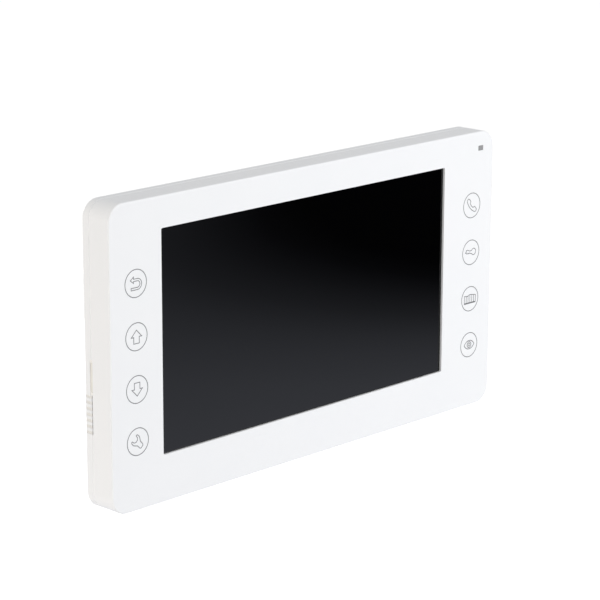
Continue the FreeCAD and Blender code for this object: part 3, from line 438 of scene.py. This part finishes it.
def grey_ink():
    """Flat grey ink, thinner and lighter in places."""
    material, tree, shader = finish_named("grey ink", IOR=1.45)
    patch = between(tree, noise(tree, 0.5 * MM, detail=4.0), 0.0, 1.0)
    colour = blend_colours(tree, patch, (0.150, 0.155, 0.165), (0.225, 0.230, 0.240))
    wire(tree, colour, shader.inputs["Base Color"])
    wire(tree, between(tree, patch, 0.45, 0.65, 0.0, 1.0), shader.inputs["Roughness"])
    return material


# %% [markdown]
# ## Metals
#
# Two kinds of metal look quite different. The wall bracket is hot-dip zinc on steel,
# whose crystals show as soft grey patches. Screws, clamps, pins and sheet-metal shells
# are bright, with fine turning or rolling lines. Those come from a noise that is
# stretched along one axis, so one function makes them all.

# %% Finish: zinc crystals
CRYSTAL_SIZE = 5 * MM
CRYSTAL_SHARE = 0.6


def galvanised_steel():
    """Voronoi cells stand for the zinc crystals; each has its own grey and gloss."""
    material, tree, shader = finish_named("galvanised steel", Metallic=1.0)
    crystals = node(tree, "TexVoronoi", {"Scale": 1 / CRYSTAL_SIZE, "Randomness": 1.0})
    wire(tree, here(tree, (1, 1, 0.7), (0.3, 0.2, 0.4)), crystals.inputs["Vector"])
    grey = node(tree, "SeparateColor")
    wire(tree, crystals.outputs["Color"], grey.inputs["Color"])
    fine = noise(tree, 1.2 * MM, detail=5.0)
    both = calculate(tree, "ADD",
                     calculate(tree, "MULTIPLY", grey.outputs["Red"], CRYSTAL_SHARE),
                     calculate(tree, "MULTIPLY", fine, 1 - CRYSTAL_SHARE))
    colour = blend_colours(tree, both, (0.50, 0.51, 0.53), (0.72, 0.73, 0.75))
    wire(tree, colour, shader.inputs["Base Color"])
    wire(tree, between(tree, both, 0.30, 0.50, 0.0, 1.0), shader.inputs["Roughness"])
    wire(tree, relief(tree, fine, 0.006 * MM), shader.inputs["Normal"])
    return material


# %% Finish: rolled or turned bright metal
def bright_metal(name, dark, light, stretch, relief_mm=0.002):
    """Metal with fine lines: noise squeezed across the lines and long along them."""
    material, tree, shader = finish_named(name, Metallic=1.0)
    lines = noise(tree, 0.6 * MM, detail=4.0, stretch=stretch)
    stain = noise(tree, 6 * MM, detail=3.0)
    both = calculate(tree, "MULTIPLY", calculate(tree, "ADD", lines, stain), 0.5)
    wire(tree, blend_colours(tree, both, dark, light), shader.inputs["Base Color"])
    wire(tree, between(tree, lines, 0.20, 0.38), shader.inputs["Roughness"])
    wire(tree, relief(tree, lines, relief_mm * MM), shader.inputs["Normal"])
    return material


# %% [markdown]
# ## Moulded technical plastics, rubber, foam and paper
#
# Sockets, chips, the memory card and the speaker basket are all moulded, each with its
# own colour and grain, so one function makes them. Foam is open cells: the distance from
# the middle of the nearest cell, which is largest at the cell walls, raises them as
# relief and darkens the deep middles as painted shade. Speaker paper is a felt of short
# fibres.

# %% Finish: moulded technical plastic
ROUGHNESS_DRIFT = 0.06


def moulded_plastic(name, dark, light, grain_mm, roughness, relief_mm=0.006):
    """A plastic whose tone drifts slowly and whose mould grain is grain_mm wide."""
    material, tree, shader = finish_named(name, IOR=1.5)
    drift = noise(tree, 4 * MM, detail=4.0)
    wire(tree, blend_colours(tree, drift, dark, light), shader.inputs["Base Color"])
    grain = noise(tree, grain_mm * MM, detail=3.0)
    rough = between(tree, grain, roughness - ROUGHNESS_DRIFT, roughness + ROUGHNESS_DRIFT)
    wire(tree, rough, shader.inputs["Roughness"])
    wire(tree, relief(tree, grain, relief_mm * MM), shader.inputs["Normal"])
    return material


# %% Finish: foam and rubber
def cell_foam(name, dark, light, cell_mm, depth_mm):
    """Voronoi cells, deep in their middle with painted shade, raised along their walls."""
    material, tree, shader = finish_named(name, Specular_IOR_Level=0.2)
    cells = node(tree, "TexVoronoi", {"Scale": 1 / (cell_mm * MM)}, feature="F1")
    wire(tree, here(tree), cells.inputs["Vector"])
    wall = cells.outputs["Distance"]
    # Painted shade: the colour is darkest in the deep cell middles and lightest on the walls.
    colour = blend_colours(tree, wall, dark, light)
    wire(tree, colour, shader.inputs["Base Color"])
    wire(tree, between(tree, wall, 0.75, 0.95, 0.0, 1.0), shader.inputs["Roughness"])
    wire(tree, relief(tree, wall, depth_mm * MM), shader.inputs["Normal"])
    return material


# %% Finish: speaker paper
def felted_paper():
    """Dark paper: two noises stretched along different axes cross like fibres."""
    material, tree, shader = finish_named("speaker paper", Specular_IOR_Level=0.2)
    one_way = noise(tree, 0.5 * MM, detail=4.0, stretch=(0.15, 1, 1), turn=(0, 0.6, 0))
    other_way = noise(tree, 0.5 * MM, detail=4.0, stretch=(1, 1, 0.15), turn=(0, 0.3, 0))
    felt = calculate(tree, "MAXIMUM", one_way, other_way)
    colour = blend_colours(tree, between(tree, felt, 0.0, 1.0), (0.02, 0.02, 0.02),
                           (0.07, 0.068, 0.064))
    wire(tree, colour, shader.inputs["Base Color"])
    wire(tree, between(tree, felt, 0.7, 0.95), shader.inputs["Roughness"])
    wire(tree, relief(tree, felt, 0.03 * MM), shader.inputs["Normal"])
    return material


# %% [markdown]
# ## Circuit boards and flat ribbons
#
# A circuit board is green lacquer over copper lines. The lines run in bundles, so stripes
# along X are switched on where a coarse noise is high, and stripes along Z where it is
# low. Small tinned dots are the through-holes. A flat ribbon has its copper lines side by
# side along its whole length, and they show grey through its white film.

# %% Stripes along one axis
def stripes(tree, axis, pitch, share):
    """1 on a stripe that fills that share of every pitch along the axis, else 0."""
    turns = calculate(tree, "DIVIDE", coordinate(tree, axis), pitch)
    return calculate(tree, "LESS_THAN", calculate(tree, "FRACT", turns), share)


# %% Finish: green circuit board
TRACK_PITCH = 0.8 * MM
TRACK_SHARE = 0.4
TRACKS_ALONG_X_ABOVE = 0.54
TRACKS_ALONG_Z_BELOW = 0.46
VIA_PITCH = 3.2 * MM
VIA_RADIUS_SHARE = 0.11


def circuit_board():
    """Lacquer, copper lines in two directions, and tinned dots."""
    material, tree, shader = finish_named("circuit board", IOR=1.5)
    region = noise(tree, 7 * MM, detail=1.0)
    along_x = calculate(tree, "MULTIPLY", stripes(tree, "Z", TRACK_PITCH, TRACK_SHARE),
                        calculate(tree, "GREATER_THAN", region, TRACKS_ALONG_X_ABOVE))
    along_z = calculate(tree, "MULTIPLY", stripes(tree, "X", TRACK_PITCH, TRACK_SHARE),
                        calculate(tree, "LESS_THAN", region, TRACKS_ALONG_Z_BELOW))
    tracks = calculate(tree, "MAXIMUM", along_x, along_z)
    lacquer = blend_colours(tree, tracks, (0.010, 0.105, 0.040), (0.022, 0.190, 0.075))
    dots = node(tree, "TexVoronoi", {"Scale": 1 / VIA_PITCH, "Randomness": 0.5})
    wire(tree, here(tree, (1, 0, 1)), dots.inputs["Vector"])
    tinned = calculate(tree, "LESS_THAN", dots.outputs["Distance"], VIA_RADIUS_SHARE)
    colour = blend_colours(tree, tinned, lacquer, (0.62, 0.62, 0.60))
    wire(tree, colour, shader.inputs["Base Color"])
    wire(tree, tinned, shader.inputs["Metallic"])
    wire(tree, between(tree, noise(tree, 1 * MM), 0.22, 0.34), shader.inputs["Roughness"])
    wire(tree, relief(tree, tracks, 0.02 * MM, 0.6), shader.inputs["Normal"])
    return material


# %% Finish: flat ribbon
RIBBON_PITCH = 0.5 * MM
RIBBON_LINE_SHARE = 0.55


def flat_ribbon(name, across):
    """White film with a grey copper line every half millimetre across the ribbon."""
    material, tree, shader = finish_named(name, IOR=1.5)
    lines = stripes(tree, across, RIBBON_PITCH, RIBBON_LINE_SHARE)
    film = blend_colours(tree, noise(tree, 5 * MM), (0.74, 0.75, 0.74), (0.80, 0.80, 0.78))
    wire(tree, blend_colours(tree, lines, film, (0.50, 0.47, 0.42)),
         shader.inputs["Base Color"])
    wire(tree, between(tree, noise(tree, 2 * MM), 0.25, 0.40), shader.inputs["Roughness"])
    wire(tree, relief(tree, lines, 0.02 * MM, 0.7), shader.inputs["Normal"])
    return material


# %% [markdown]
# ## Dressing the CAD pieces
#
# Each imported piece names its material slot, such as `white_shell`. A table from slot
# to finish dresses nearly all of them; four pieces whose slot holds several kinds of
# thing get a finish of their own.

# %% Finishes of the case and the display
ink_finish = grey_ink()
FINISHES = {
    "white_shell": satin_white_plastic(),
    "clear_window": gloss_black_display(),
    "display_cell": moulded_plastic("polariser", (0.004, 0.004, 0.006),
                                    (0.009, 0.009, 0.012), 1.5, 0.18, 0.001),
    "light_pipe": smoked_plastic(),
}

# %% Finishes of the metals
FINISHES.update({
    "zinc_steel": galvanised_steel(),
    "tray_steel": bright_metal("rolled steel", (0.44, 0.45, 0.46), (0.66, 0.67, 0.68),
                               (0.06, 1, 1)),
    "card_shell": bright_metal("stainless sheet", (0.52, 0.52, 0.53), (0.74, 0.74, 0.75),
                               (0.06, 1, 1)),
    "screw_steel": bright_metal("plated screw steel", (0.46, 0.47, 0.50),
                                (0.70, 0.71, 0.74), (1, 0.3, 1)),
    "heat_sink": bright_metal("milled aluminium", (0.62, 0.63, 0.65), (0.82, 0.83, 0.85),
                              (1, 1, 0.05), 0.006),
    "capacitor_can": bright_metal("drawn aluminium", (0.60, 0.61, 0.62),
                                  (0.80, 0.81, 0.82), (1, 0.08, 1)),
    "contact_metal": bright_metal("tinned brass", (0.60, 0.53, 0.34), (0.80, 0.73, 0.50),
                                  (1, 0.1, 1)),
    "magnet_iron": bright_metal("plated iron", (0.20, 0.20, 0.21), (0.36, 0.36, 0.37),
                                (1, 1, 1), 0.01),
})

# %% Finishes of the boards, plastics and soft pieces
FINISHES.update({
    "black_foam": cell_foam("gasket foam", (0.008, 0.008, 0.008), (0.05, 0.05, 0.05),
                            0.5, 0.12),
    "backlight": moulded_plastic("white reflector", (0.80, 0.81, 0.82),
                                 (0.86, 0.87, 0.88), 0.3, 0.60),
    "circuit_board": circuit_board(),
    "black_epoxy": moulded_plastic("chip epoxy", (0.016, 0.016, 0.017),
                                   (0.034, 0.034, 0.036), 0.12, 0.58),
    "ivory_plastic": moulded_plastic("ivory nylon", (0.72, 0.69, 0.60),
                                     (0.80, 0.77, 0.69), 0.35, 0.42),
    "ribbon_film": flat_ribbon("ribbon across", "Z"),
    "adhesive_tape": moulded_plastic("fleece tape", (0.62, 0.62, 0.58),
                                     (0.74, 0.74, 0.70), 0.2, 0.75, 0.02),
    "card_ivory": moulded_plastic("memory card ivory", (0.78, 0.77, 0.72),
                                  (0.84, 0.83, 0.79), 0.25, 0.45),
    "speaker_black": moulded_plastic("speaker basket", (0.018, 0.018, 0.018),
                                     (0.040, 0.040, 0.040), 0.3, 0.50),
})

# %% Give the finishes out
OWN_FINISH = {
    "speaker_cone": felted_paper(),
    "microphone_boot": moulded_plastic("black rubber", (0.010, 0.010, 0.010),
                                       (0.025, 0.025, 0.025), 0.5, 0.70),
    "display_ribbon": flat_ribbon("ribbon upward", "X"),
    "led_ribbon": flat_ribbon("small ribbon upward", "X"),
}
for name, piece in nodes.items():
    for place in piece.material_slots:
        place.material = OWN_FINISH.get(name, FINISHES[place.material.name])
print("finishes:", len(FINISHES) + len(OWN_FINISH))

# %% [markdown]
# ## A printed line as a mesh
#
# The key marks are ink, only a few hundredths of a millimetre thick, yet they are real
# meshes here, so that their edges stay crisp in any view. A line is a flat band that
# follows a path. At each point of the path the band's two edges lie half a width to
# either side, along the mitre of the two runs that meet there. Front and back edges
# give four corners a point, and the skin between neighbouring points is made of quads.

# %% Helper: one closed band along a path
INK_WIDTH = 0.30 * MM
INK_HEIGHT = 0.02 * MM
TINY = 1e-12


def mitres(points, closed):
    """Per point, the step to the band's edge: the two runs' normals added, divided by
    one plus their dot product, which keeps the band's width through a bend."""
    runs = np.diff(np.vstack([points, points[:1]]), axis=0)
    runs /= np.maximum(np.linalg.norm(runs, axis=1, keepdims=True), TINY)
    normals = np.column_stack([-runs[:, 1], runs[:, 0]])
    before = np.roll(normals, 1, axis=0)
    if not closed:
        before[0] = normals[0]
        normals[-1] = before[-1]
    return (before + normals) / (1 + np.sum(before * normals, axis=1, keepdims=True))


def band(points, closed=True, width=INK_WIDTH):
    """Corners and quads of a band along the points, in key coordinates: across, up and
    height over the face. The four corners of each point are joined to the next four."""
    points = np.asarray(points, float) * MM
    step = mitres(points, closed) * width / 2
    count = len(points)
    left, right = points + step, points - step
    low, high = np.zeros(count), np.full(count, INK_HEIGHT)
    corners = np.stack([np.column_stack([left, high]), np.column_stack([right, high]),
                        np.column_stack([right, low]), np.column_stack([left, low])], axis=1)
    first = np.arange(count if closed else count - 1)[:, None] * 4
    after = (first + 4) % (4 * count)
    side = np.arange(4)[None, :]
    other = (side + 1) % 4
    quads = np.stack([first + side, first + other, after + other, after + side], axis=2)
    quads = quads.reshape(-1, 4)
    if not closed:
        last = 4 * (count - 1)
        quads = np.vstack([quads, [[3, 2, 1, 0], [last, last + 1, last + 2, last + 3]]])
    return corners.reshape(-1, 3), quads


# %% [markdown]
# Round stretches of a mark are arcs: points at even steps of angle on a circle. A mark
# that lies on a slant is drawn along its own axis and then turned, and one that is the
# same above and below its axis is drawn as a half and mirrored.

# %% Helper: arcs and turned outlines
def arc(across, up, radius, start, end, count=14):
    """Points on a circle from the start to the end angle, in degrees."""
    turn = np.radians(np.linspace(start, end, count))
    return np.column_stack([across + radius * np.cos(turn), up + radius * np.sin(turn)])


def turned(points, degrees):
    """The points turned about the key's centre."""
    turn = math.radians(degrees)
    spin = np.array([[math.cos(turn), math.sin(turn)], [-math.sin(turn), math.cos(turn)]])
    return np.asarray(points, float) @ spin


def mirrored_path(half):
    """A closed outline from its upper half, mirrored across the first axis."""
    half = np.asarray(half, float)
    return np.vstack([half, half[::-1] * (1, -1)])


# %% [markdown]
# ## The eight marks
#
# Left column, from the top: a return arrow, up, down and a spanner for the settings.
# Right column: a telephone handset, a key for the door, a gate, and an eye for the
# camera. Each is an outline a few millimetres wide inside its ring.

# %% Marks of the left column
def return_mark():
    """A hooked arrow: the band turns back through a half circle, the head points left."""
    upper, lower, outer, inner = 1.72, 0.87, 2.07, 1.22
    middle = upper - outer
    return [band(np.vstack([
        [(-2.6, 1.35), (-1.05, 2.55), (-1.05, upper)],
        arc(0.8, middle, outer, 90, -90),
        [(-2.25, middle - outer), (-2.25, middle - inner)],
        arc(0.8, middle, inner, -90, 90),
        [(-1.05, lower), (-1.05, 0.15)],
    ]))]


def arrow_mark(sign):
    """A block arrow, up for sign 1 and down for -1."""
    half = np.array([(0.0, 2.5), (2.55, -0.1), (1.35, -0.1), (1.35, -2.55)])
    right_side = half * (1, sign)
    return [band(np.vstack([right_side, right_side[:0:-1] * (-1, 1)]))]


def spanner_mark():
    """An open jaw on a short handle, drawn along its own axis and then turned."""
    half = [(-0.6, 0.5), (-1.25, 1.2), (-2.25, 1.35), (-2.4, 1.6), (-2.0, 2.05), (-0.8, 2.1),
            (0.1, 1.6), (0.95, 1.05), (2.6, 1.0), (3.05, 0.6)]
    return [band(turned(mirrored_path(half) + (0, -0.25), -45))]


# %% Marks of the right column
RAIL_WIDTH = 0.60 * MM
EYE_WIDTH = 0.34 * MM


def handset_mark():
    """A handset on the diagonal: a slightly bowed grip between two broader ends."""
    outer_radius, inner_radius = 8.1, 3.5
    end = np.array([(3.8, -0.1), (3.5, 0.7), (2.5, 0.92), (1.65, 0.75)])
    path = np.vstack([
        arc(0, outer_radius - 1.45, outer_radius, -114, -66, 12), end,
        arc(0, inner_radius - 0.3, inner_radius, -68, -112, 8), end[::-1] * (-1, 1),
    ])
    return [band(turned(path, -45))]


def key_mark():
    """A door key: a round bow on the right, a waist, and small teeth at the left end."""
    return [band(np.vstack([
        arc(1.75, 0.1, 1.36, 147, -147, 22), [(-0.6, -0.32), (-1.0, -0.10), (-1.4, -0.42)],
        [(-1.8, -0.12), (-2.2, -0.42), (-3.5, 0.20), (-2.8, 0.55), (-2.95, 1.10)],
        [(-2.2, 1.28), (-0.7, 0.60)],
    ]))]


def gate_mark():
    """A gate: a frame with an arched top, upright bars and a thick lower rail."""
    top = np.array([(-3.5, 1.50), (-1.5, 1.28), (-0.7, 1.60), (0.2, 1.80), (1.5, 1.60),
                    (3.6, 1.25)])
    frame_path = np.vstack([[(-3.5, -1.75)], top, [(3.6, -1.75)]])
    places = np.linspace(-2.3, 2.45, 5)
    heights = np.interp(places, top[:, 0], top[:, 1])
    bars = [band([(place, -1.7), (place, height)], False) for place, height in
            zip(places, heights)]
    rail = band([(-3.6, -1.8), (3.65, -1.8)], False, RAIL_WIDTH)
    return [band(frame_path, False), rail, *bars]


def eye_mark():
    """An eye: two lids that meet in points, a bold iris ring and a small pupil ring."""
    lids = np.vstack([arc(0.15, -1.8, 3.62, 150, 30, 16), arc(0.15, 1.8, 3.62, -30, -150, 16)])
    iris = arc(0.15, 0.0, 1.25, 0, 342, 20)
    pupil = arc(0.15, 0.0, 0.60, 0, 330, 12)
    return [band(lids, True, EYE_WIDTH), band(iris, True, EYE_WIDTH), band(pupil)]


# %% [markdown]
# ## From arrays to a piece
#
# A closed skin of quads has an inside and an outside. Adding up the small pyramids from
# the origin to each face gives its volume, and the sum is negative when the faces look
# inwards; then each face's corners are taken in the opposite order. The piece rides on
# the monitor, so it rises with it when the monitor is lifted off its hooks.

# %% Helper: one piece from points and quads
def signed_volume(points, quads):
    """Six times the volume inside the quads: negative if they face inwards."""
    a, b, c, d = (points[quads[:, side]] for side in range(4))
    return np.sum(np.cross(a, b) * c) + np.sum(np.cross(a, c) * d)


def surface_piece(name, points, faces, finish):
    """One mesh from whole arrays, faces outwards, riding on the monitor."""
    if signed_volume(points, faces) < 0:
        faces = faces[:, ::-1]
    mesh = bpy.data.meshes.new(name)
    mesh.from_pydata(points.tolist(), [], faces.tolist())
    mesh.materials.append(finish)
    made = bpy.data.objects.new(name, mesh)
    bpy.context.scene.collection.objects.link(made)
    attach(made, "monitor")


# %% [markdown]
# ## Printing the keys
#
# A key's mark and its ring become one mesh. Key coordinates turn into the part's own:
# across is X, up is Z, and the height of the ink stands out of the face to -Y. The
# columns and the middle row height come from the sensing boards behind the face.

# %% Build the eight printed keys
RING_RADIUS_MM = 5.22
RING_WIDTH = 0.32 * MM
KEY_PITCH = 20.0 * MM
RING = band(arc(0, 0, RING_RADIUS_MM, 0, 355, 72), True, RING_WIDTH)
LEFT_MARKS = (("return", return_mark()), ("up", arrow_mark(1)), ("down", arrow_mark(-1)),
              ("spanner", spanner_mark()))
RIGHT_MARKS = (("handset", handset_mark()), ("door_key", key_mark()), ("gate", gate_mark()),
               ("eye", eye_mark()))


def print_mark(name, parts, across, up):
    """Joins the bands, moves them to the key and makes one mesh that rides on the monitor."""
    points, quads, start = [], [], 0
    for corners, faces in parts:
        placed = np.column_stack([across + corners[:, 0], FACE_Y - corners[:, 2],
                                  up + corners[:, 1]])
        points.append(placed)
        quads.append(faces + start)
        start += len(placed)
    surface_piece(name, np.vstack(points), np.vstack(quads), ink_finish)


for column, marks in zip(KEY_COLUMNS, (LEFT_MARKS, RIGHT_MARKS)):
    for row, (mark_name, parts) in enumerate(marks):
        height = KEY_MIDDLE + ((len(marks) - 1) / 2 - row) * KEY_PITCH
        print_mark("key_print_" + mark_name, [RING, *parts], column, height)
print("printed keys:", len(LEFT_MARKS) + len(RIGHT_MARKS))

# %% [markdown]
# ## The lip round the card slot
#
# A soft pale lip fills the gap between the memory card and its slot, so that no dust
# gets in. It is a ring: a cross-section of six points is carried round a rounded
# rectangle that widens from an opening just larger than the card to the slot's wall.
# Both outlines are superellipses, which run round in one smooth formula.

# %% Helper: a rounded rectangle in one formula
def squarish(size, count, power=14):
    """A superellipse: each coordinate is half the size times cos or sin to the power of
    2/power, with its sign kept."""
    turn = np.linspace(0, 2 * np.pi, count, endpoint=False)
    across, up = np.cos(turn), np.sin(turn)
    return np.column_stack([np.sign(across) * np.abs(across) ** (2 / power) * size[0] / 2,
                            np.sign(up) * np.abs(up) ** (2 / power) * size[1] / 2])


# %% Build the lip
SLOT_SIZE = (1.46 * MM, 13.36 * MM)
LIP_OPENING = (1.12 * MM, 11.2 * MM)
LIP_SECTION = [(0.0, 0.24), (0.2, 0.13), (0.6, 0.06), (1.0, 0.10), (1.0, 1.00), (0.0, 1.00)]
LIP_STEPS = 96


def slot_lip():
    """Points and quads: share 0 of the section is the opening, share 1 the slot's wall."""
    card_low, card_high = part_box("memory_card")
    share, depth = np.array(LIP_SECTION).T
    inner, outer = squarish(LIP_OPENING, LIP_STEPS), squarish(SLOT_SIZE, LIP_STEPS)
    ring = inner[:, None] + share[None, :, None] * (outer - inner)[:, None]
    x = np.broadcast_to(face_low.x + depth * MM, ring.shape[:2])
    points = np.stack([x, ring[..., 0] + (card_low.y + card_high.y) / 2,
                       ring[..., 1] + (card_low.z + card_high.z) / 2], axis=-1)
    index = np.arange(ring.shape[0] * ring.shape[1]).reshape(ring.shape[:2])
    onward, beside = np.roll(index, -1, axis=0), np.roll(index, -1, axis=1)
    both = np.roll(onward, -1, axis=1)
    quads = np.stack([index, onward, both, beside], axis=-1)
    return points.reshape(-1, 3), quads.reshape(-1, 4)


lip_finish = moulded_plastic("pale soft rubber", (0.88, 0.87, 0.84), (0.93, 0.92, 0.90),
                             0.3, 0.62)
surface_piece("card_slot_lip", *slot_lip(), lip_finish)
print("lip opening:", [round(side / MM, 2) for side in LIP_OPENING], "mm")

# %% [markdown]
# ## Dust cloth behind the vents
#
# Seven short vents in the left side let the sound and the warm air out. Pale woven cloth
# lies just inside them and keeps dust out. In each vent it bulges outwards a little, so
# its surface is a grid of two parameters with a crown: the height is the product of two
# parabolas that are zero at the edges. The vents' places are the CAD part's own
# numbers, and the seven pads are one piece.

# %% The cloth's weave
THREAD_PITCH = 0.16 * MM
THREAD_SHARE = 0.7


def pale_cloth():
    """Crossed stripes of light thread with painted shade between them."""
    material, tree, shader = finish_named("pale dust cloth", Roughness=0.9,
                                          Specular_IOR_Level=0.2, Sheen_Weight=0.2)
    weave = calculate(tree, "MULTIPLY", stripes(tree, "Y", THREAD_PITCH, THREAD_SHARE),
                      stripes(tree, "Z", THREAD_PITCH, THREAD_SHARE))
    thread = blend_colours(tree, noise(tree, 0.5 * MM), (0.90, 0.89, 0.87), (0.96, 0.95, 0.93))
    # Painted shade: the gaps between the threads take the darker colour.
    wire(tree, blend_colours(tree, weave, (0.84, 0.83, 0.81), thread),
         shader.inputs["Base Color"])
    wire(tree, relief(tree, weave, 0.03 * MM), shader.inputs["Normal"])
    return material


# %% One pad of the cloth
VENT_TOP = -14.6 * MM
VENT_PITCH = 2.28 * MM
VENT_COUNT = 7
VENT_HALF_HEIGHT = 0.54 * MM
VENT_DEPTHS = (6.64 * MM, 9.66 * MM)
CLOTH_BELOW_SIDE = 0.03 * MM
CLOTH_THICKNESS = 0.5 * MM
CLOTH_CROWN = 0.06 * MM
CLOTH_STEPS = (12, 6)


def crowned_pad(middle_z):
    """Closed pad: its front is x0 - crown * (1 - s^2) * (1 - t^2) over s and t from -1
    to 1, and its back is the flat sheet one thickness behind."""
    s, t = np.meshgrid(np.linspace(-1, 1, CLOTH_STEPS[0]), np.linspace(-1, 1, CLOTH_STEPS[1]),
                       indexing="ij")
    near, far = VENT_DEPTHS
    y = -(near + far) / 2 + s * (far - near) / 2
    z = middle_z + t * VENT_HALF_HEIGHT
    base = face_low.x + CLOTH_BELOW_SIDE + CLOTH_CROWN
    front = np.stack([base - CLOTH_CROWN * (1 - s ** 2) * (1 - t ** 2), y, z], axis=-1)
    back = np.stack([np.full_like(y, base + CLOTH_THICKNESS), y, z], axis=-1)
    index = np.arange(s.size).reshape(s.shape)
    grid = np.stack([index[:-1, :-1], index[1:, :-1], index[1:, 1:], index[:-1, 1:]],
                    axis=-1).reshape(-1, 4)
    rim = np.concatenate([index[:-1, 0], index[-1, :-1], index[:0:-1, -1], index[0, :0:-1]])
    after = np.roll(rim, -1)
    wall = np.column_stack([rim + s.size, after + s.size, after, rim])
    points = np.vstack([front.reshape(-1, 3), back.reshape(-1, 3)])
    return points, np.vstack([grid, grid[:, ::-1] + s.size, wall])


# %% Build the cloth in the seven vents
pads = [crowned_pad(VENT_TOP - index * VENT_PITCH) for index in range(VENT_COUNT)]
pad_size = len(pads[0][0])
cloth_points = np.vstack([points for points, faces in pads])
cloth_faces = np.vstack([faces + index * pad_size for index, (points, faces) in enumerate(pads)])
surface_piece("vent_dust_cloth", cloth_points, cloth_faces, pale_cloth())
print("dust cloth in", VENT_COUNT, "vents")
